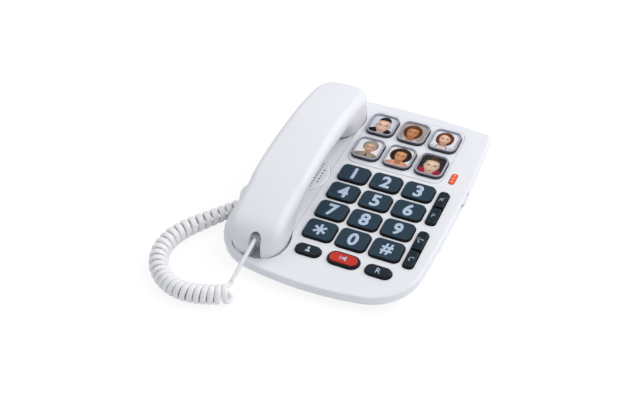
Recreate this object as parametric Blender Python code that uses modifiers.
"""Corded landline phone with large keys, six picture keys and a lift-off handset.

Units are metres, +Z is up and the keypad's front edge faces -Y. The origin lies under the middle of
the phone, on the surface that its feet stand on. Sizes below are written in millimetres times MM.
The sloping top of the base is the deck. Deck coordinates start close to the middle of key 5: x runs to the
right, y up the slope towards the back, and z square to the deck, with 0 on its surface.
"""
import math

import bmesh
import bpy
from mathutils import Matrix, Vector

MM = 0.001
GAP = 0.3 * MM                      # clearance between parts that touch on the real phone

# Deck: where it stands, and how it slopes
DECK_TILT = math.radians(9.0)
DECK_ORIGIN = Vector((19.71 * MM, -9.55 * MM, 27.5 * MM))
FOOT_GAP = 3.0 * MM                 # height of the casing's flat underside above the table

# Base casing
BASE_WIDTH = 170.6 * MM
BASE_MIDDLE = -20.4 * MM            # deck x of the casing's centre line
BASE_FRONT = -96.6 * MM             # deck y of the front edge's foremost point
BASE_BACK = 114.5 * MM
WIDEST_AT = 22.0 * MM               # deck y where the casing is widest
FRONT_SWEEP = 280.0 * MM            # radius of the bowed front edge
SIDE_SWEEP = 1080.0 * MM
BACK_SWEEP = 600.0 * MM
FRONT_CORNER = 41.0 * MM
BACK_CORNER = 4.2 * MM
SKIRT = 7.0 * MM                    # height of the upper casing's edge
WALL = 2.2 * MM
EDGE_ROUND = 2.2 * MM
FLANGE = 1.2 * MM                   # rim of the lower casing, inside the skirt
TUB_INSET = 7.5 * MM                # from the casing's edge to the lower casing's wall
TUB_TAPER = 0.36                    # inward slope of that wall for each unit of height

# Keys
PITCH_X = 28.0 * MM
PITCH_Y = 22.0 * MM
LAST_ROW_STEP = 22.4 * MM
KEY_5 = (0.75 * MM, 1.63 * MM)      # where the middle of key 5 stands on the deck
DIGIT_KEY = (25.5 * MM, 18.7 * MM, 4.7 * MM)        # width, depth, corner radius
LAST_ROW_KEY = (25.5 * MM, 20.0 * MM, 4.7 * MM)
KEY_RISE = 2.2 * MM                 # height of a key's top above the deck
KEY_ROUND = 1.0 * MM
KEY_TRAVEL = 2.0 * MM
KEY_FLANGE = 1.0 * MM               # how far the retaining lip reaches past the key
LIP = 1.1 * MM                      # thickness of that lip
APERTURE_GAP = 0.45 * MM
PICTURE_KEY = (24.2 * MM, 25.2 * MM, 6.0 * MM)
PICTURE_ROWS = (55.1 * MM, 86.5 * MM)
PICTURE_RISE = 3.4 * MM
PICTURE_RIM = 1.5 * MM              # width of the frame round the clear cap
PICTURE_WELL = 1.9 * MM             # depth of the tray that holds the picture and its cap
CAP = 1.0 * MM
PANEL_SIZE = (83.6 * MM, 65.6 * MM, 8.0 * MM)
PANEL_MIDDLE = 70.6 * MM            # deck y
PANEL_SEAT = 1.0 * MM               # depth of the seat that the picture-key panel lies in
SMALL_OVAL = (21.5 * MM, 10.7 * MM, 5.3 * MM)
LARGE_OVAL = (26.4 * MM, 13.0 * MM, 6.4 * MM)
OVALS = {"memory_key": (SMALL_OVAL, (-27.2 * MM, -64.7 * MM)), "loudspeaker_key": (LARGE_OVAL, (2.1 * MM, -63.9 * MM)),
         "recall_key": (SMALL_OVAL, (31.0 * MM, -64.8 * MM))}
LENS = (22.8 * MM, 9.4 * MM, 4.6 * MM)               # red lens in the loudspeaker key
SIDE_KEY_X = 49.1 * MM
SIDE_KEY_WIDTH = 8.6 * MM
SIDE_PAIRS = {"mute_key": (12.6 * MM, 30.8 * MM), "pause_key": (-6.4 * MM, 12.0 * MM),
              "redial_key": (-35.1 * MM, -14.8 * MM), "phone_type_key": (-53.7 * MM, -35.7 * MM)}
LIGHT = (49.1 * MM, 48.1 * MM, 4.8 * MM, 12.4 * MM)  # x, y, width, length

# Handset and the bed that it lies in
HANDSET_X = -67.2 * MM              # deck x of the handset's middle plane
HANDSET_FRONT = -85.4 * MM
HANDSET_BACK = 108.2 * MM
HANDSET_HALF = 23.5 * MM
MIC_HALF = 22.7 * MM
MIC_CORNER = 19.5 * MM              # corner radii of the handset seen from above
EAR_CORNER = 22.8 * MM
ARCH_TOP = 36.7 * MM                # height of the arch above the deck
ARCH_AT = 28.0 * MM                 # deck y of that highest point
SHELL = 2.2 * MM
SEAM_HEIGHT = 3.6 * MM              # how far the handset's seam runs above its underside
WELL_GAP = 1.3 * MM
WELL_FLOOR = -5.3 * MM
CUP_FACE = WELL_FLOOR + GAP        # deck z of the faces of both cups
BED_FLOOR = -1.0 * MM
MIC_CUP = (-67.0 * MM, 22.4 * MM, 29.0 * MM)        # deck y of a cup's middle, half width, reach
EAR_CUP = (86.5 * MM, 21.3 * MM, 29.0 * MM)
RAMP = 10.0 * MM                    # length over which the underside climbs out of a cup
BELLY = 9.5 * MM                    # corner radius under the arch
ALCOVE = (9.8 * MM, 20.2 * MM, 11.0 * MM)           # the cord's recess: width, top above deck, depth
ALCOVE_X = -62.8 * MM

# Loudspeaker grille
GRILLE_Y = 13.0 * MM
GRILLE_RADIUS = 21.3 * MM
HOLE_FIELD = 17.6 * MM
HOLE_PITCH = (3.64 * MM, 3.42 * MM)
HOLE_RADIUS = 0.85 * MM

# Curly handset cord. Its route lies on the table, in world x and y.
CORD_DIAMETER = 3.6 * MM
COIL_DIAMETER = 15.4 * MM
COIL_ROUTE = [(-85.5, -30.1), (-92.0, -42.1), (-97.9, -52.0), (-106.7, -67.7), (-112.8, -80.1),
              (-117.1, -95.1), (-116.5, -110.7), (-111.1, -124.3), (-102.1, -134.7), (-89.8, -142.1),
              (-76.3, -144.6), (-63.9, -142.6), (-54.1, -138.7), (-45.9, -133.9)]
COIL_SLIM = 0.82                    # share of its diameter that the coil keeps near the base
COIL_POINTS = 22
TAIL_POINTS = 16

HOUSING_WHITE = (0.80, 0.82, 0.86)
KEY_NAVY = (0.028, 0.055, 0.080)
KEY_RED = (0.62, 0.035, 0.028)
FRAME_GREY = (0.32, 0.32, 0.36)

DECK_MATRIX = Matrix.Translation(DECK_ORIGIN) @ Matrix.Rotation(DECK_TILT, 4, "X")


# ---------------------------------------------------------------- scene, materials and placing

def clear_scene():
    for thing in list(bpy.data.objects):
        bpy.data.objects.remove(thing, do_unlink=True)


def new_collection(name):
    group = bpy.data.collections.new(name)
    bpy.context.scene.collection.children.link(group)
    return group


clear_scene()
PARTS = new_collection("corded_phone")
CUTTERS = new_collection("cutters")
DECK = bpy.data.objects.new("deck", None)
DECK.matrix_world = DECK_MATRIX
PARTS.objects.link(DECK)


def material(name, colour, roughness=0.4, metallic=0.0, alpha=1.0):
    """One Principled material for each kind of moulding."""
    if name in bpy.data.materials:
        return bpy.data.materials[name]
    made = bpy.data.materials.new(name)
    made.use_nodes = True
    shader = made.node_tree.nodes["Principled BSDF"]
    shader.inputs["Base Color"].default_value = (*colour, 1.0)
    shader.inputs["Roughness"].default_value = roughness
    shader.inputs["Metallic"].default_value = metallic
    shader.inputs["Alpha"].default_value = alpha
    return made


def from_bmesh(name, bm):
    """Close a bmesh into a new object whose faces point out."""
    bmesh.ops.recalc_face_normals(bm, faces=bm.faces)
    mesh = bpy.data.meshes.new(name)
    bm.to_mesh(mesh)
    bm.free()
    return bpy.data.objects.new(name, mesh)


def keep(thing, finish, place=(0.0, 0.0, 0.0), parent=DECK):
    """Put a finished part in the phone's collection, on the deck unless told otherwise."""
    PARTS.objects.link(thing)
    thing.parent = parent
    thing.location = place
    thing.data.materials.clear()
    thing.data.materials.append(finish)
    return thing


def as_cutter(thing, place=(0.0, 0.0, 0.0), parent=DECK):
    CUTTERS.objects.link(thing)
    thing.parent = parent
    thing.location = place
    thing.hide_render = True
    thing.display_type = "WIRE"
    return thing


def combine(target, other, operation="DIFFERENCE"):
    step = target.modifiers.new(f"{operation.lower()}_{other.name}", "BOOLEAN")
    step.operation = operation
    step.solver = "EXACT"
    step.object = other


# ---------------------------------------------------------------- outlines

def arc(centre, radius, start, end, steps):
    """Points along an arc, both ends included."""
    angles = [start + (end - start) * i / steps for i in range(steps + 1)]
    return [(centre[0] + radius * math.cos(a), centre[1] + radius * math.sin(a)) for a in angles]


def rounded_rectangle(width, depth, radius, centre=(0.0, 0.0), steps=4, back_radius=None):
    """Outline with four round corners. The back pair can have a radius of its own."""
    radii = (radius, back_radius or radius)
    points = []
    for turn, (side, end) in enumerate(((1, -1), (1, 1), (-1, 1), (-1, -1))):
        round_by = min(radii[end > 0], width / 2 - 0.01 * MM, depth / 2 - 0.01 * MM)
        middle = (centre[0] + side * (width / 2 - round_by), centre[1] + end * (depth / 2 - round_by))
        start = math.radians(-90 + 90 * turn)
        points += arc(middle, round_by, start, start + math.pi / 2, steps)
    return points


def circle(radius, centre=(0.0, 0.0), sides=32):
    return arc(centre, radius, 0.0, 2 * math.pi, sides)[:-1]


def meeting_point(first, first_radius, second, second_radius, towards):
    """Where two circles cross, on the side that faces a given direction."""
    span = second - first
    distance = span.length
    along = (first_radius ** 2 - second_radius ** 2 + distance ** 2) / (2 * distance)
    across = math.sqrt(max(first_radius ** 2 - along ** 2, 0.0))
    unit = span / distance
    normal = Vector((-unit.y, unit.x))
    if normal.dot(towards) < 0:
        normal = -normal
    return first + unit * along + normal * across


def casing_outline(inset=0.0):
    """The base seen square to the deck: four bowed edges with filleted corners, moved in by inset."""
    half = BASE_WIDTH / 2
    front = (Vector((BASE_MIDDLE, BASE_FRONT + FRONT_SWEEP)), FRONT_SWEEP - inset)
    right = (Vector((BASE_MIDDLE + half - SIDE_SWEEP, WIDEST_AT)), SIDE_SWEEP - inset)
    back = (Vector((BASE_MIDDLE, BASE_BACK - BACK_SWEEP)), BACK_SWEEP - inset)
    left = (Vector((BASE_MIDDLE - half + SIDE_SWEEP, WIDEST_AT)), SIDE_SWEEP - inset)
    corners = [(left, front, FRONT_CORNER, (-1, -1), 7), (front, right, FRONT_CORNER, (1, -1), 7),
               (right, back, BACK_CORNER, (1, 1), 3), (back, left, BACK_CORNER, (-1, 1), 3)]
    edge_points = [5, 4, 5, 4]
    fillets = []
    for (c1, r1), (c2, r2), radius, towards, steps in corners:
        radius = max(radius - inset, 3.0 * MM)
        middle = meeting_point(c1, r1 - radius, c2, r2 - radius, Vector(towards))
        start = math.atan2(*(middle - c1).yx)
        end = math.atan2(*(middle - c2).yx)
        while end < start:
            end += 2 * math.pi
        fillets.append(arc(middle, radius, start, end, steps))
    points = []
    for index, fillet in enumerate(fillets):
        points += fillet
        centre, radius = corners[index][1]
        following = fillets[(index + 1) % 4][0]
        start = math.atan2(fillet[-1][1] - centre.y, fillet[-1][0] - centre.x)
        end = math.atan2(following[1] - centre.y, following[0] - centre.x)
        while end < start:
            end += 2 * math.pi
        points += arc(centre, radius, start, end, edge_points[index] + 1)[1:-1]
    return points


# ---------------------------------------------------------------- solids

def flat_face(outline, height):
    """A bmesh that holds one filled outline."""
    bm = bmesh.new()
    ring = [bm.verts.new((x, y, height)) for x, y in outline]
    bmesh.ops.contextual_create(bm, geom=ring)
    return bm


def raise_face(bm, face, height):
    """Extrude a face square to the deck and return the new top face."""
    inside_solid = any(len(edge.link_faces) > 1 for edge in face.edges)
    made = bmesh.ops.extrude_face_region(bm, geom=[face])["geom"]
    if inside_solid:
        bm.faces.remove(face)
    corners = [item for item in made if isinstance(item, bmesh.types.BMVert)]
    bmesh.ops.translate(bm, verts=corners, vec=(0.0, 0.0, height))
    return next(item for item in made if isinstance(item, bmesh.types.BMFace))


def round_edges(bm, height, width, segments):
    """Round the rim at one level."""
    rim = [edge for edge in bm.edges if all(abs(v.co.z - height) < 1e-7 for v in edge.verts)]
    bmesh.ops.bevel(bm, geom=rim, offset=width, segments=segments, profile=0.5, affect="EDGES",
                    clamp_overlap=True)


def plate(name, outline, low, high, top_round=0.0, low_round=0.0, segments=2):
    """A flat piece of any outline, with its upper or lower rim rounded."""
    bm = flat_face(outline, low)
    raise_face(bm, bm.faces[:][0], high - low)
    if top_round:
        round_edges(bm, high, top_round, segments)
    if low_round:
        round_edges(bm, low, low_round, segments)
    return from_bmesh(name, bm)


def loft(rings):
    """A closed shell through rings that have the same number of points."""
    bm = bmesh.new()
    loops = [[bm.verts.new(point) for point in ring] for ring in rings]
    count = len(loops[0])
    for lower, upper in zip(loops, loops[1:]):
        for i in range(count):
            j = (i + 1) % count
            bm.faces.new((lower[i], lower[j], upper[j], upper[i]))
    bm.faces.new(loops[0])
    bm.faces.new(loops[-1])
    return bm


def skin(name, rings):
    return from_bmesh(name, loft(rings))


def flared(name, low_outline, low, high_outline, high):
    """A pocket cutter whose mouth is wider than its floor."""
    return skin(name, [[(x, y, low) for x, y in low_outline], [(x, y, high) for x, y in high_outline]])


def turned(name, profile, steps=32):
    """A round piece: its half section runs down the outer side and is spun about Z."""
    bm = bmesh.new()
    corners = [bm.verts.new((radius, 0.0, height)) for radius, height in profile]
    for first, second in zip(corners, corners[1:]):
        bm.edges.new((first, second))
    mesh = bpy.data.meshes.new(name)
    bm.to_mesh(mesh)
    bm.free()
    thing = bpy.data.objects.new(name, mesh)
    spin = thing.modifiers.new("spin", "SCREW")
    spin.steps = steps
    spin.render_steps = steps
    spin.use_merge_vertices = True
    spin.merge_threshold = 0.00001
    return thing


def box(name, low, high):
    """A block between two corners, started as a cube."""
    bm = bmesh.new()
    bmesh.ops.create_cube(bm, size=1.0)
    low, high = Vector(low), Vector(high)
    bmesh.ops.scale(bm, vec=high - low, verts=bm.verts)
    bmesh.ops.translate(bm, vec=(low + high) / 2, verts=bm.verts)
    return from_bmesh(name, bm)


def button(outline, lip_outline, rise, lip_low, top_round):
    """A key cap: a retaining lip under the deck and a body that stands through the aperture."""
    levels = ((lip_outline, lip_low), (lip_outline, lip_low + LIP), (outline, lip_low + LIP), (outline, rise))
    bm = loft([[(x, y, level) for x, y in ring] for ring, level in levels])
    round_edges(bm, rise, top_round, 2)
    return bm


def smooth_route(points, count):
    """Even points along a Catmull-Rom curve through a few route points."""
    guide = [Vector(p) for p in points]
    guide = [2 * guide[0] - guide[1]] + guide + [2 * guide[-1] - guide[-2]]
    fine = []
    for a, b, c, d in zip(guide, guide[1:], guide[2:], guide[3:]):
        for k in range(20):
            t = k / 20
            fine.append(0.5 * (2 * b + (c - a) * t + (2 * a - 5 * b + 4 * c - d) * t * t
                               + (3 * b - a - 3 * c + d) * t ** 3))
    fine.append(guide[-2])
    lengths = [0.0]
    for first, second in zip(fine, fine[1:]):
        lengths.append(lengths[-1] + (second - first).length)
    route, index = [], 0
    for k in range(count):
        wanted = lengths[-1] * k / (count - 1)
        while index < len(fine) - 2 and lengths[index + 1] < wanted:
            index += 1
        share = (wanted - lengths[index]) / (lengths[index + 1] - lengths[index])
        route.append(fine[index].lerp(fine[index + 1], share))
    return route


def tube(name, route, radius, resolution, slim=None):
    """A cord or pipe: a bevelled curve with filled caps, in world coordinates."""
    curve = bpy.data.curves.new(name, "CURVE")
    curve.dimensions = "3D"
    curve.bevel_depth = radius
    curve.bevel_resolution = resolution
    curve.use_fill_caps = True
    spline = curve.splines.new("POLY")
    spline.points.add(len(route) - 1)
    for index, (point, place) in enumerate(zip(spline.points, route)):
        point.co = (*place, 1.0)
        point.radius = slim[index] if slim else 1.0
    return bpy.data.objects.new(name, curve)


# ---------------------------------------------------------------- handset form

def ease(value, start, end):
    """Smooth step from 0 at start to 1 at end, in either direction."""
    share = min(max((value - start) / (end - start), 0.0), 1.0)
    return share * share * (3 - 2 * share)


def handset_top(y):
    """Height of the handset's crown above the deck: an arch that rolls over at both ends."""
    bend = 0.0023 if y > ARCH_AT else 0.0013
    height = ARCH_TOP - bend * (y - ARCH_AT) ** 2 / MM
    mic_start, ear_start = -57.0 * MM, 97.0 * MM
    if y < mic_start:
        share = min((mic_start - y) / (mic_start - HANDSET_FRONT), 1.0)
        height -= 18.0 * MM * (1 - math.sqrt(1 - share ** 4))
    if y > ear_start:
        share = min((y - ear_start) / (HANDSET_BACK - ear_start), 1.0)
        height -= 9.0 * MM * (1 - math.sqrt(1 - share ** 2))
    return height


def cup_reach(y, cup, fade):
    """Half width of an oval cup at its foot; it narrows towards the arch and follows the plan outside."""
    middle, half, reach = cup
    inwards = (y - middle) * fade
    if inwards < 0:
        return half * handset_half(y) / HANDSET_HALF
    return half * math.sqrt(max(1 - (inwards / reach) ** 2, 0.0))


def handset_underside(y):
    """Underside at y: its height, the half width of its flat, where the sides begin and how steeply."""
    crown = 20.4 * MM - 0.0016 * (y - 2.0 * MM) ** 2 / MM
    half = handset_half(y)
    middle, fade = (EAR_CUP, -1.0) if y > 0 else (MIC_CUP, 1.0)
    foot_end = middle[0] + fade * (middle[2] - 0.5 * MM)
    in_cup = ease(y, foot_end + fade * (RAMP - 2.0 * MM), foot_end - fade * 2.0 * MM)
    low = crown + (CUP_FACE - crown) * in_cup
    reach = cup_reach(y, middle, fade)
    foot = max(reach - 3.4 * MM, 0.12 * half)
    spread = ease(y, foot_end + fade * 12 * MM, foot_end)
    flat = (half - BELLY) * (1 - spread) + foot * spread
    side = ease(y, foot_end + fade * 8 * MM, middle[0])
    begin = (crown + BELLY) * (1 - side) + 12.0 * MM * side
    steep = spread * (1 - reach / middle[1]) if (y - middle[0]) * fade > 0 else 0.0
    return low, min(flat, half - 0.4 * MM), begin, steep


def handset_half(y):
    """Half width seen from above: straight sides and round ends."""
    corner = MIC_CORNER if y < 0 else EAR_CORNER
    past = max(HANDSET_FRONT + corner - y, y - HANDSET_BACK + corner, 0.0)
    past = min(past / corner, 0.998)
    bulge = 2.3 if y < 0 else 2.0
    widest = HANDSET_HALF + (MIC_HALF - HANDSET_HALF) * ease(y, -15 * MM, -60 * MM)
    return widest - corner + corner * (1 - past ** bulge) ** (1 / bulge)


def bezier(a, b, c, d, steps):
    """Points of a cubic curve in a section, without its last one."""
    points = []
    for k in range(steps):
        t = k / steps
        weights = ((1 - t) ** 3, 3 * t * (1 - t) ** 2, 3 * t * t * (1 - t), t ** 3)
        points.append(tuple(sum(w * p[i] for w, p in zip(weights, (a, b, c, d))) for i in (0, 1)))
    return points


def handset_section(y, offset=0.0):
    """One cross-section: round shoulders, a slight crown, and sides that draw in to the cups."""
    top = handset_top(y) - offset
    low, flat, begin, steep = handset_underside(y)
    low += offset
    half = handset_half(y) - offset
    flat = max(min(flat - offset, half - 0.3 * MM), 0.3 * MM)
    shoulder = min(8.0 * MM, (top - low) * 0.45, half * 0.75)
    begin = min(begin, top - shoulder - 0.4 * MM)
    rise = begin - low
    corner = 0.55 * min(half - flat, BELLY) * (1 - steep)
    points = bezier((flat, low), (flat + corner, low + 0.45 * rise * steep), (half, begin - 0.6 * rise),
                    (half, begin), 6)
    points += arc((half - shoulder, top - shoulder), shoulder, 0.0, math.radians(84), 5)
    points.append((0.0, top + 0.4 * MM))
    right = [(HANDSET_X + x, y, z) for x, z in points]
    left = [(HANDSET_X - x, y, z) for x, z in points[:-1]]
    return right + left[::-1]


def stations(start, end):
    """Section places: close together where the form turns, wide apart where it runs straight."""
    rolls = [1 - math.cos(math.radians(15 * k)) for k in range(6)]
    places = [start + 28.0 * MM * roll for roll in rolls] + [end - 24.0 * MM * roll for roll in rolls]
    for middle, fade in ((MIC_CUP, 1.0), (EAR_CUP, -1.0)):
        foot_end = middle[0] + fade * middle[2]
        places += [foot_end + fade * shift * MM for shift in (-14, -9, -5, -2.5, -0.5, 1.5, 3.5, 6, 9, 13)]
    places += [(-10.0 + 12.5 * k) * MM for k in range(4)]
    return sorted(places)


def handset_solid(name):
    """The whole handset, before it is split along its seam."""
    places = stations(HANDSET_FRONT + 0.05 * MM, HANDSET_BACK - 0.05 * MM)
    return skin(name, [handset_section(y) for y in places])


def handset_cavity(name, start, end):
    """Hollow for one end of the handset."""
    places = [start + (end - start) * k / 10 for k in range(11)]
    return skin(name, [handset_section(y, SHELL) for y in places])


def parting_block(name, drop, keep_above):
    """Everything above or below the seam, which runs just over the underside from end to end."""
    places = stations(HANDSET_FRONT - 5 * MM, HANDSET_BACK + 5 * MM)
    seam = []
    for y in places:
        inside = min(max(y, HANDSET_FRONT + 1 * MM), HANDSET_BACK - 1 * MM)
        seam.append((y, handset_underside(inside)[0] + SEAM_HEIGHT + drop))
    limit = 60.0 * MM if keep_above else -20.0 * MM
    outline = seam + [(places[-1], limit), (places[0], limit)]
    side = HANDSET_HALF + 6 * MM
    return skin(name, [[(HANDSET_X + x, y, z) for y, z in outline] for x in (-side, side)])


# ---------------------------------------------------------------- base casing

def make_upper_housing(white):
    """The deck with its skirt, the handset's bed and every aperture."""
    housing = plate("upper_housing", casing_outline(), -SKIRT, 0.0, top_round=EDGE_ROUND, segments=3)
    cavity = plate("deck_cavity", casing_outline(WALL), -SKIRT - 1 * MM, -WALL)
    combine(housing, as_cutter(cavity))

    combine(housing, as_cutter(plate("bed_tray", tray_outline(), -SKIRT + 0.05 * MM, -1.6 * MM)), "UNION")
    bed_middle = (HANDSET_X, (MIC_CUP[0] + EAR_CUP[0]) / 2)
    bed_length = EAR_CUP[0] - MIC_CUP[0] + 10 * MM
    bed = rounded_rectangle(2 * EAR_CUP[1] - 3 * MM, bed_length, 8 * MM, bed_middle)
    mouth = rounded_rectangle(2 * EAR_CUP[1], bed_length + 3 * MM, 9.5 * MM, bed_middle)
    combine(housing, as_cutter(flared("bed_cutter", bed, BED_FLOOR, mouth, 1.0 * MM)))
    for name, cup, fade in (("mouthpiece_well", MIC_CUP, 1.0), ("earpiece_well", EAR_CUP, -1.0)):
        combine(housing, as_cutter(plate(name, well_outline(cup, fade), WELL_FLOOR, 2.0 * MM)))

    seat = circle(GRILLE_RADIUS + GAP, (HANDSET_X, GRILLE_Y), 40)
    combine(housing, as_cutter(plate("grille_seat", seat, -SKIRT - 4 * MM, 2.0 * MM)))
    panel = rounded_rectangle(PANEL_SIZE[0] + 2 * GAP, PANEL_SIZE[1] + 2 * GAP, PANEL_SIZE[2],
                              (0.0, PANEL_MIDDLE))
    combine(housing, as_cutter(plate("panel_seat", panel, -PANEL_SEAT, 2.0 * MM)))
    for name, outline in aperture_outlines().items():
        combine(housing, as_cutter(plate(f"{name}_aperture", outline, -6.0 * MM, 3.0 * MM)))
    slot = box("slider_slot", (55.0 * MM, 22.6 * MM, -5.5 * MM), (70.0 * MM, 41.4 * MM, -2.3 * MM))
    combine(housing, as_cutter(slot))
    plunger_hole = rounded_rectangle(9.0 * MM, 5.6 * MM, 1.2 * MM, (HANDSET_X, 66.0 * MM), 2)
    combine(housing, as_cutter(plate("plunger_hole", plunger_hole, -12 * MM, 0.0)))
    return keep(housing, white)


def well_outline(cup, fade):
    """Oval seen from above: it follows the handset's end on one side and the cup on the other."""
    inner = cup[0] + fade * (cup[2] + WELL_GAP)
    outer = (HANDSET_BACK + WELL_GAP) if fade < 0 else (HANDSET_FRONT - WELL_GAP)
    right = []
    for k in range(17):
        share = 0.5 - 0.5 * math.cos(math.pi * k / 16)
        y = outer + (inner - outer) * share
        place = min(max(y, HANDSET_FRONT + 0.05 * MM), HANDSET_BACK - 0.05 * MM)
        narrow = (y - outer) / (inner - outer)
        half = cup_reach(place, cup, fade) + WELL_GAP
        if narrow > 0.5 and y * fade > cup[0] * fade:
            past = min(abs(y - cup[0]) / (cup[2] + WELL_GAP), 1.0)
            half = (cup[1] + WELL_GAP) * math.sqrt(1 - past ** 2)
        right.append((max(half, 0.3 * MM), y))
    points = [(HANDSET_X + x, y) for x, y in right] + [(HANDSET_X - x, y) for x, y in reversed(right)]
    return points


def tray_outline(extra=0.0):
    """Outside of the bed's tray, which hangs under the deck round the handset."""
    rim = WELL_GAP + 1.1 * MM + extra
    length = HANDSET_BACK - HANDSET_FRONT + 2 * rim
    middle = (HANDSET_X, (HANDSET_BACK + HANDSET_FRONT) / 2)
    return rounded_rectangle(2 * (HANDSET_HALF + rim), length, MIC_CORNER + rim, middle, 7, EAR_CORNER + rim)


def grow(size, extra):
    return size[0] + 2 * extra, size[1] + 2 * extra, size[2] + extra


def key_places():
    """Each flat key's name, size and place on the deck."""
    keys = {}
    for row in range(3):
        for column in range(3):
            place = (KEY_5[0] + (column - 1) * PITCH_X, KEY_5[1] + (1 - row) * PITCH_Y)
            keys[f"key_{3 * row + column + 1}"] = (DIGIT_KEY, place)
    last_row = KEY_5[1] - PITCH_Y - LAST_ROW_STEP
    for column, name in enumerate(("key_star", "key_0", "key_hash")):
        keys[name] = (LAST_ROW_KEY, (KEY_5[0] + (column - 1) * PITCH_X, last_row))
    keys.update(OVALS)
    for name, (low, high) in SIDE_PAIRS.items():
        keys[name] = ((SIDE_KEY_WIDTH, high - low, 3.2 * MM), (SIDE_KEY_X, (low + high) / 2))
    return keys


def picture_places():
    places = {}
    for row, y in enumerate(reversed(PICTURE_ROWS)):
        for column in range(3):
            places[f"picture_key_{3 * row + column + 1}"] = ((column - 1) * PITCH_X, y)
    return places


def aperture_outlines():
    """Openings in the deck itself. Two side keys share one long opening."""
    openings = {}
    for name, (size, place) in key_places().items():
        if name not in SIDE_PAIRS:
            openings[name] = rounded_rectangle(*grow(size, APERTURE_GAP), place)
    for upper, lower in (("mute_key", "pause_key"), ("redial_key", "phone_type_key")):
        low = SIDE_PAIRS[lower][0] - APERTURE_GAP
        high = SIDE_PAIRS[upper][1] + APERTURE_GAP
        width = SIDE_KEY_WIDTH + 2 * APERTURE_GAP
        openings[f"{upper}_pair"] = rounded_rectangle(width, high - low, 3.6 * MM,
                                                      (SIDE_KEY_X, (low + high) / 2))
    for name, place in picture_places().items():
        openings[name] = rounded_rectangle(*grow(PICTURE_KEY, APERTURE_GAP), place)
    x, y, width, length = LIGHT
    openings["light"] = rounded_rectangle(width + 2 * GAP, length + 2 * GAP, width / 2, (x, y))
    return openings


def make_picture_panel(white):
    """Thin panel round the six picture keys, seated in the deck."""
    outline = rounded_rectangle(*PANEL_SIZE, (0.0, PANEL_MIDDLE))
    panel = plate("picture_key_panel", outline, -PANEL_SEAT + GAP, 0.35 * MM, top_round=0.3 * MM, segments=1)
    for name, place in picture_places().items():
        opening = rounded_rectangle(*grow(PICTURE_KEY, APERTURE_GAP), place)
        combine(panel, as_cutter(plate(f"{name}_window", opening, -4 * MM, 3 * MM)))
    return keep(panel, white)


def make_grille(white):
    """Loudspeaker grille: a low disc on the bed with rows of round holes."""
    profile = [(0.0, 0.0), (GRILLE_RADIUS - 1.2 * MM, 0.0), (GRILLE_RADIUS, -0.9 * MM),
               (GRILLE_RADIUS, -WALL), (0.0, -WALL)]
    grille = turned("speaker_grille", [(r, z) for r, z in profile], 40)
    drills = bmesh.new()
    reach = int(HOLE_FIELD / HOLE_PITCH[1]) + 1
    for column in range(-reach, reach + 1):
        for row in range(-reach, reach + 1):
            x, y = column * HOLE_PITCH[0], row * HOLE_PITCH[1]
            if math.hypot(x, y) > HOLE_FIELD:
                continue
            bmesh.ops.create_cone(drills, cap_ends=True, segments=6, radius1=HOLE_RADIUS,
                                  radius2=HOLE_RADIUS, depth=8 * MM, matrix=Matrix.Translation((x, y, 0.0)))
    place = (HANDSET_X, GRILLE_Y, 0.0)
    combine(grille, as_cutter(from_bmesh("grille_drills", drills), place))
    return keep(grille, white, place)


def to_world(x, y, z):
    return DECK_MATRIX @ Vector((x, y, z))


def tub_ring(inset, level):
    """The lower casing's wall outline where it meets the flange."""
    return [to_world(x, y, level) for x, y in casing_outline(inset)]


def tub_foot_ring(inset, level):
    """The same outline on a flat plane near the table, moved in by the wall's taper."""
    ring = []
    upper = casing_outline(inset)
    for index, (x, y) in enumerate(upper):
        drop = (to_world(x, y, -SKIRT).z - level) * TUB_TAPER
        moved = Vector(casing_outline(inset + max(drop, 0.0))[index])
        place = to_world(moved.x, moved.y, -SKIRT)
        ring.append(Vector((place.x, place.y, level)))
    return ring


def make_lower_housing(white):
    """A tapered tub under the deck, with its rim inside the skirt and four screw posts."""
    rim = plate("housing_rim", casing_outline(WALL + GAP), -SKIRT, -SKIRT + FLANGE)
    tub = skin("lower_housing", [tub_foot_ring(TUB_INSET, FOOT_GAP), tub_ring(TUB_INSET, -SKIRT + 1 * MM)])
    combine(tub, as_cutter(rim), "UNION")
    inner = skin("tub_cavity", [tub_foot_ring(TUB_INSET + WALL, FOOT_GAP + WALL),
                                tub_ring(TUB_INSET + WALL, -SKIRT + FLANGE + 1 * MM)])
    combine(tub, as_cutter(inner, parent=None))
    clearance = plate("tray_clearance", tray_outline(GAP), -SKIRT - GAP, 0.0)
    combine(tub, as_cutter(clearance))
    for number, (x, y, radius, level) in enumerate(POSTS):
        post = plate(f"post_{number}", circle(radius, (x, y), 16), FOOT_GAP + 1 * MM,
                     height_under(x, y, radius, level))
        combine(tub, as_cutter(post, parent=None), "UNION")
    for number, (x, y, _radius, _level) in enumerate(POSTS[:4]):
        hole = plate(f"screw_hole_{number}", circle(1.5 * MM, (x, y), 10), -1 * MM, 60 * MM)
        combine(tub, as_cutter(hole, parent=None))
        recess = plate(f"screw_recess_{number}", circle(2.9 * MM, (x, y), 12), -1 * MM, FOOT_GAP + 1.6 * MM)
        combine(tub, as_cutter(recess, parent=None))
    for number, (x, y) in enumerate(FEET):
        seat = plate(f"foot_seat_{number}", circle(6.3 * MM, (x, y), 20), -1 * MM, FOOT_GAP + 0.8 * MM)
        combine(tub, as_cutter(seat, parent=None))
    for low, high in (LINE_WINDOW, CORD_WINDOW):
        window = box("socket_window", Vector(low) - Vector((GAP,) * 3), Vector(high) + Vector((GAP,) * 3))
        combine(tub, as_cutter(window, parent=None))
    return keep(tub, white, parent=None)


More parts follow.
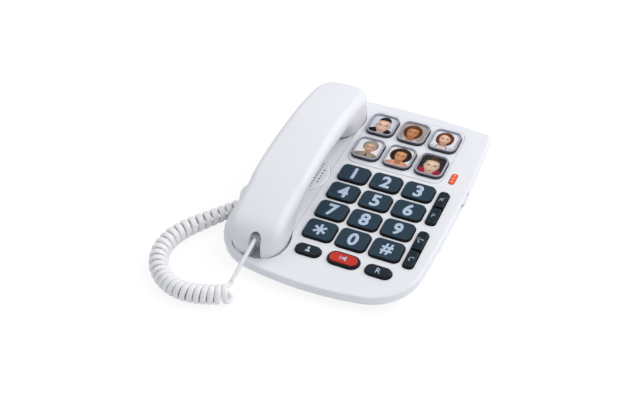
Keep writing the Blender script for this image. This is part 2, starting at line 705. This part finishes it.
def height_under(x, y, radius, level):
    """World height that an upright post reaches when it stops just under a plane of the deck."""
    nearest = y - radius
    up = (nearest - DECK_ORIGIN.y) * math.tan(DECK_TILT) + level / math.cos(DECK_TILT)
    return DECK_ORIGIN.z + up - GAP


def under_deck(x, y, level):
    """World x and y straight below a place on the deck's inner side."""
    place = to_world(x, y, level)
    return place.x, place.y


# Four screw posts, then the supports of the loudspeaker and of the hook switch: x, y, radius, deck level
POSTS = [(*under_deck(x * MM, y * MM, -WALL), 3.4 * MM, -WALL)
         for x, y in ((-20.0, -79.5), (26.0, -79.5), (-14.0, 70.8), (14.0, 70.8))]
POSTS += [(*under_deck(HANDSET_X, GRILLE_Y, -14 * MM), 9.0 * MM, -14.0 * MM),
          (*under_deck(HANDSET_X, 66.0 * MM, -20 * MM), 5.0 * MM, -20.0 * MM)]
FEET = [(x * MM, y * MM) for x, y in ((-56.5, -69.5), (49.5, -77.5), (-56.5, 74.5), (49.5, 84.5))]
LINE_WINDOW = ((-8.5 * MM, 76.5 * MM, 10.0 * MM), (5.5 * MM, 92.1 * MM, 22.0 * MM))
CORD_WINDOW = ((-77.1 * MM, -15.5 * MM, 7.4 * MM), (-62.5 * MM, -4.1 * MM, 16.4 * MM))


def make_feet(rubber):
    for number, (x, y) in enumerate(FEET):
        profile = [(0.0, FOOT_GAP + 0.8 * MM - GAP), (6.0 * MM, FOOT_GAP + 0.8 * MM - GAP),
                   (6.0 * MM, 0.8 * MM), (5.4 * MM, 0.0), (0.0, 0.0)]
        foot = turned(f"rubber_foot_{number + 1}", profile, 20)
        keep(foot, rubber, (x, y, 0.0), parent=None)


# ---------------------------------------------------------------- keys and controls

def make_keys():
    """Flat keys, each on its own slide square to the deck. A red lens sits in the loudspeaker key."""
    navy = material("key_navy", KEY_NAVY, 0.45)
    lip_low = -WALL - GAP - LIP
    for name, (size, place) in key_places().items():
        outline = rounded_rectangle(*size)
        lip = rounded_rectangle(*grow(size, KEY_FLANGE))
        if name in SIDE_PAIRS:
            outline, lip = side_key_outline(name, size, 0.0), side_key_outline(name, size, KEY_FLANGE)
        key = from_bmesh(name, button(outline, lip, KEY_RISE, lip_low, KEY_ROUND))
        if name == "loudspeaker_key":
            seat = plate("lens_seat", rounded_rectangle(*grow(LENS, GAP)), KEY_RISE - 0.9 * MM, 8 * MM)
            combine(key, as_cutter(seat, (*place, 0.0)))
            lens = plate("loudspeaker_key_lens", rounded_rectangle(*LENS), KEY_RISE - 0.9 * MM + GAP,
                         KEY_RISE + 0.7 * MM, top_round=0.8 * MM)
            keep(lens, material("key_red", KEY_RED, 0.4), (*place, 0.0))
        keep(key, navy, (*place, 0.0))


def side_key_outline(name, size, extra):
    """A side key is round at the pair's outer end and square where the two keys meet."""
    width, length, radius = size
    upper = name in ("mute_key", "redial_key")
    outer, inner = radius + extra, 1.6 * MM
    middle = (0.0, extra / 2 if upper else -extra / 2)
    front, back = (inner, outer) if upper else (outer, inner)
    return rounded_rectangle(width + 2 * extra, length + extra, front, middle, 4, back)


def make_picture_keys():
    """Picture keys: a grey frame with a tray, and a clear cap that snaps into it."""
    grey = material("frame_grey", FRAME_GREY, 0.35, 0.3)
    clear = material("clear_cap", (0.95, 0.95, 0.97), 0.08, alpha=0.35)
    lip_low = -WALL - GAP - LIP
    tray_size = grow(PICTURE_KEY, -PICTURE_RIM)
    cap_size = grow(tray_size, -GAP)
    for name, place in picture_places().items():
        outline = rounded_rectangle(*PICTURE_KEY)
        lip = rounded_rectangle(*grow(PICTURE_KEY, KEY_FLANGE))
        frame = from_bmesh(name, button(outline, lip, PICTURE_RISE, lip_low, 0.9 * MM))
        tray = plate(f"{name}_tray", rounded_rectangle(*tray_size), PICTURE_RISE - PICTURE_WELL, 8 * MM)
        combine(frame, as_cutter(tray, (*place, 0.0)))
        keep(frame, grey, (*place, 0.0))
        cap_top = PICTURE_RISE - 0.1 * MM
        cap = plate(name.replace("key", "cap"), rounded_rectangle(*cap_size), cap_top - CAP, cap_top,
                    top_round=0.35 * MM, segments=1)
        keep(cap, clear, (*place, 0.0))


def make_controls(white):
    """Status light, ringer switch and the hook plunger under the earpiece."""
    x, y, width, length = LIGHT
    lens = plate("status_light", rounded_rectangle(width, length, width / 2), -WALL - 1.6 * MM, 0.7 * MM,
                 top_round=0.6 * MM)
    keep(lens, material("light_red", (0.80, 0.09, 0.03), 0.25), (x, y, 0.0))

    knob = box("ringer_switch", (60.6 * MM, 27.0 * MM, -5.2 * MM), (66.2 * MM, 37.0 * MM, -2.6 * MM))
    round_box(knob, 0.4 * MM)
    keep(knob, white)

    stem = rounded_rectangle(8.4 * MM, 5.0 * MM, 1.0 * MM, steps=2)
    plunger = plate("hook_plunger", stem, -12.4 * MM, CUP_FACE - GAP, top_round=0.8 * MM)
    keep(plunger, white, (HANDSET_X, 66.0 * MM, 0.0))


def round_box(thing, width):
    soften = thing.modifiers.new("soften", "BEVEL")
    soften.width = width
    soften.segments = 2
    soften.limit_method = "NONE"


# ---------------------------------------------------------------- inside the base

def make_inner_parts():
    """What the casing holds: keypad mat, circuit board, loudspeaker, hook switch and sockets."""
    rubber = material("mat_rubber", (0.25, 0.26, 0.28), 0.8)
    board_green = material("board_green", (0.02, 0.16, 0.06), 0.5)
    metal = material("speaker_metal", (0.35, 0.35, 0.36), 0.4, 0.8)
    dark = material("socket_dark", (0.03, 0.03, 0.035), 0.5)
    mat_top = -WALL - GAP - LIP - KEY_TRAVEL - 0.3 * MM
    board_top = mat_top - 0.9 * MM - GAP
    beside = as_cutter(box("beside_board", (-200 * MM, -200 * MM, -20 * MM), (-41 * MM, 200 * MM, 0.0)))
    ahead = as_cutter(box("ahead_of_board", (-200 * MM, -200 * MM, -20 * MM), (200 * MM, -74.3 * MM, 0.0)))
    for name, finish, high, thick in (("keypad_mat", rubber, mat_top, 0.9 * MM),
                                      ("circuit_board", board_green, board_top, 1.4 * MM)):
        sheet = plate(name, casing_outline(12.5 * MM), high - thick, high)
        combine(sheet, beside)
        combine(sheet, ahead)
        for x, y, radius, _level in POSTS[2:4]:
            hole = plate(f"{name}_hole", circle(radius + 0.8 * MM, (x, y), 16), -20 * MM, 60 * MM)
            combine(sheet, as_cutter(hole, parent=None))
        keep(sheet, finish)

    speaker = [(0.0, -4.2 * MM), (8 * MM, -5.2 * MM), (17.5 * MM, -3.2 * MM), (20.5 * MM, -3.2 * MM),
               (20.5 * MM, -4.8 * MM), (12.0 * MM, -9.6 * MM), (12.0 * MM, -14.0 * MM), (0.0, -14.0 * MM)]
    keep(turned("loudspeaker", speaker, 28), metal, (HANDSET_X, GRILLE_Y, 0.0))

    switch = box("hook_switch", (HANDSET_X - 6 * MM, 60.0 * MM, -20 * MM), (HANDSET_X + 6 * MM, 72.0 * MM, -12.8 * MM))
    keep(switch, dark)
    for name, (low, high), port, mouth in (
            ("line_socket", LINE_WINDOW, (9.8 * MM, 6.8 * MM), Vector((0, 1, 0))),
            ("base_cord_socket", CORD_WINDOW, PLUG_PORT, Vector((-1, 0, 0)))):
        keep(socket(name, Vector(low), Vector(high), port, mouth), dark, parent=None)


PLUG_SIZE = (7.2 * MM, 5.8 * MM, 14.0 * MM)         # width, height and length of a cord plug
PLUG_PORT = (PLUG_SIZE[0] + 2 * GAP, PLUG_SIZE[1] + 2 * GAP)
PLUG_DEPTH = 9.0 * MM               # how much of the plug is inside its socket


def socket(name, low, high, port, mouth):
    """A modular socket: a block with a square port, open towards mouth."""
    block = box(name, low, high)
    middle = (low + high) / 2
    half_width, half_height = port[0] / 2, port[1] / 2
    across = Vector((abs(mouth.y), abs(mouth.x), 0.0)) * half_width
    up = Vector((0.0, 0.0, half_height))
    face = middle + Vector([mouth[i] * (high - low)[i] / 2 for i in range(3)])
    depth = mouth * (PLUG_DEPTH + GAP)
    first = face - depth - across - up
    second = face + mouth * 5 * MM + across + up
    corner_low = Vector([min(a, b) for a, b in zip(first, second)])
    corner_high = Vector([max(a, b) for a, b in zip(first, second)])
    combine(block, as_cutter(box(f"{name}_port", corner_low, corner_high), parent=None))
    return block


# ---------------------------------------------------------------- handset

def make_handset(white):
    """Two shells with a seam, the cord's alcove, the capsules and the socket."""
    cavities = [("mouthpiece_hollow", -62.0 * MM, -20.0 * MM), ("earpiece_hollow", 20.0 * MM, 102.0 * MM)]
    alcove_outline = arch_outline(ALCOVE[0], CUP_FACE - 3 * MM, ALCOVE[1])
    alcove = skin("alcove", [[(ALCOVE_X + x, y, z) for x, z in alcove_outline]
                             for y in (HANDSET_FRONT - 4 * MM, HANDSET_FRONT + ALCOVE[2])])
    as_cutter(alcove)
    low, high = HANDSET_SOCKET
    pocket = box("handset_socket_pocket", Vector(low) - Vector((GAP, 2 * MM, GAP)),
                 Vector(high) + Vector((GAP, 3 * MM, GAP)))
    as_cutter(pocket)
    hollows = [as_cutter(handset_cavity(*cavity)) for cavity in cavities]
    ear_holes = sound_holes("earpiece_holes", EAR_CUP[0], 4.2 * MM, 6)
    mic_holes = sound_holes("mouthpiece_holes", -54.0 * MM, 2.6 * MM, 3)
    shells = (("handset_cover", parting_block("below_seam", GAP / 2, False), False),
              ("handset_face", parting_block("above_seam", -GAP / 2, True), True))
    for name, other_half, lower in shells:
        shell = handset_solid(name)
        combine(shell, as_cutter(other_half))
        for hollow in hollows:
            combine(shell, hollow)
        combine(shell, alcove)
        combine(shell, pocket)
        if lower:
            combine(shell, ear_holes)
            combine(shell, mic_holes)
        keep(shell, white)
    dark = material("socket_dark", (0.03, 0.03, 0.035), 0.5)
    metal = material("speaker_metal", (0.35, 0.35, 0.36), 0.4, 0.8)
    keep(handset_port(), dark)
    ear = [(0.0, 5.0 * MM), (9.0 * MM, 5.0 * MM), (9.0 * MM, 1.0 * MM), (14.0 * MM, 1.0 * MM),
           (14.0 * MM, -1.8 * MM), (0.0, -1.8 * MM)]
    keep(turned("receiver_capsule", ear, 24), metal, (HANDSET_X, EAR_CUP[0], 0.0))
    mic = [(0.0, 1.6 * MM), (4.6 * MM, 1.6 * MM), (4.6 * MM, -1.8 * MM), (0.0, -1.8 * MM)]
    keep(turned("microphone_capsule", mic, 16), metal, (HANDSET_X, -54.0 * MM, 0.0))


HANDSET_SOCKET = ((ALCOVE_X - 6.2 * MM, HANDSET_FRONT + ALCOVE[2] + 0.6 * MM, 8.9 * MM),
                  (ALCOVE_X + 4.2 * MM, HANDSET_FRONT + ALCOVE[2] + 12.6 * MM, 17.7 * MM))


def handset_port():
    """The handset's socket, which opens towards the mouthpiece end."""
    low, high = Vector(HANDSET_SOCKET[0]), Vector(HANDSET_SOCKET[1])
    block = box("handset_cord_socket", low, high)
    middle = (low + high) / 2
    port = Vector((PLUG_PORT[0] / 2, 0.0, PLUG_PORT[1] / 2))
    first = Vector((middle.x, low.y - 5 * MM, middle.z)) - port
    second = Vector((middle.x, low.y + PLUG_DEPTH + GAP, middle.z)) + port
    combine(block, as_cutter(box("handset_port", first, second)))
    return block


def arch_outline(width, low, high):
    """An arched doorway, seen from the front."""
    half = width / 2
    crown = high - half
    return [(-half, low), (half, low)] + arc((0.0, crown), half, 0.0, math.pi, 10)


def sound_holes(name, y, ring_radius, count):
    """A ring of small holes round a central one, drilled through a cup's face."""
    drills = bmesh.new()
    places = [(0.0, 0.0)] + circle(ring_radius, sides=count)
    for x, along in places:
        spot = Matrix.Translation((HANDSET_X + x, y + along, CUP_FACE))
        bmesh.ops.create_cone(drills, cap_ends=True, segments=8, radius1=0.9 * MM, radius2=0.9 * MM,
                              depth=7 * MM, matrix=spot)
    return as_cutter(from_bmesh(name, drills))


# ---------------------------------------------------------------- handset cord

def make_plug(name, matrix):
    """A small modular plug with its latch, its length along local +Z out of the socket."""
    width, height, length = PLUG_SIZE
    body = box(name, (-width / 2, -height / 2, 0.0), (width / 2, height / 2, length))
    round_box(body, 0.4 * MM)
    body.data.transform(matrix)
    return body


def make_cord():
    """Plugs, the coil as one fat tube and the two straight ends."""
    white = material("cord_white", (0.74, 0.75, 0.77), 0.5)
    clear = material("plug_clear", (0.80, 0.82, 0.85), 0.2)
    port = Vector(HANDSET_SOCKET[0]).lerp(Vector(HANDSET_SOCKET[1]), 0.5)
    port.y = HANDSET_SOCKET[0][1] + PLUG_DEPTH
    facing_front = Matrix.Translation(port) @ Matrix.Rotation(math.radians(90), 4, "X")
    keep(make_plug("handset_plug", facing_front), clear)
    handset_exit = DECK_MATRIX @ (port + Vector((0.0, -PLUG_SIZE[2] - GAP, 0.0)))
    out_of_handset = (DECK_MATRIX.to_3x3() @ Vector((0.0, -1.0, 0.0)))

    low, high = Vector(CORD_WINDOW[0]), Vector(CORD_WINDOW[1])
    seat = (low + high) / 2
    seat.x = low.x + PLUG_DEPTH
    facing_left = Matrix.Translation(seat) @ Matrix.Rotation(math.radians(-90), 4, "Y")
    keep(make_plug("base_plug", facing_left @ Matrix.Rotation(math.radians(90), 4, "Z")), clear, parent=None)
    base_exit = seat + Vector((-PLUG_SIZE[2] - GAP, 0.0, 0.0))

    radius = COIL_DIAMETER / 2
    flat_route = smooth_route([(x * MM, y * MM, 0.0) for x, y in COIL_ROUTE], COIL_POINTS)
    slim = [COIL_SLIM + (1 - COIL_SLIM) * ease(k / COIL_POINTS, 0.0, 0.4) for k in range(COIL_POINTS)]
    coil = [place + Vector((0.0, 0.0, radius * share)) for place, share in zip(flat_route, slim)]
    keep(tube("curly_cord", coil, radius, 4, slim), white, parent=None)
    start, heading = coil[0], (coil[0] - coil[1]).normalized()
    first = start + heading * GAP
    left = Vector((-1.0, 0.0, 0.0))
    base_tail = [base_exit + left * 2.5 * MM, base_exit + Vector((-5.5 * MM, -2.5 * MM, -0.6 * MM)),
                 first + heading * 9 * MM + Vector((0.0, 0.0, 0.8 * MM)), first + heading * 2.5 * MM]
    base_tail = [base_exit] + smooth_route(base_tail, TAIL_POINTS) + [first]
    keep(tube("base_tail", base_tail, CORD_DIAMETER / 2, 2), white, parent=None)
    finish, heading = coil[-1], (coil[-1] - coil[-2]).normalized()
    last = finish + heading * (CORD_DIAMETER / 2 + GAP) + Vector((0.0, 0.0, 5.6 * MM))
    handset_tail = [handset_exit + out_of_handset * 2 * MM, handset_exit + out_of_handset * 4 * MM,
                    handset_exit.lerp(last, 0.3), handset_exit.lerp(last, 0.6), handset_exit.lerp(last, 0.9), last]
    handset_tail = [handset_exit] + smooth_route(handset_tail, TAIL_POINTS) + [last]
    keep(tube("handset_tail", handset_tail, CORD_DIAMETER / 2, 2), white, parent=None)


def shade(thing):
    """Round pieces are smooth, with their real corners kept sharp."""
    if thing.type == "MESH":
        thing.data.shade_smooth()
        thing.data.set_sharp_from_angle(angle=math.radians(35))


def main():
    white = material("housing_white", HOUSING_WHITE, 0.35)
    make_upper_housing(white)
    make_picture_panel(white)
    make_grille(white)
    make_lower_housing(white)
    make_feet(material("foot_rubber", (0.05, 0.05, 0.055), 0.8))
    make_keys()
    make_picture_keys()
    make_controls(white)
    make_inner_parts()
    make_handset(white)
    make_cord()
    for thing in PARTS.objects:
        shade(thing)


main()
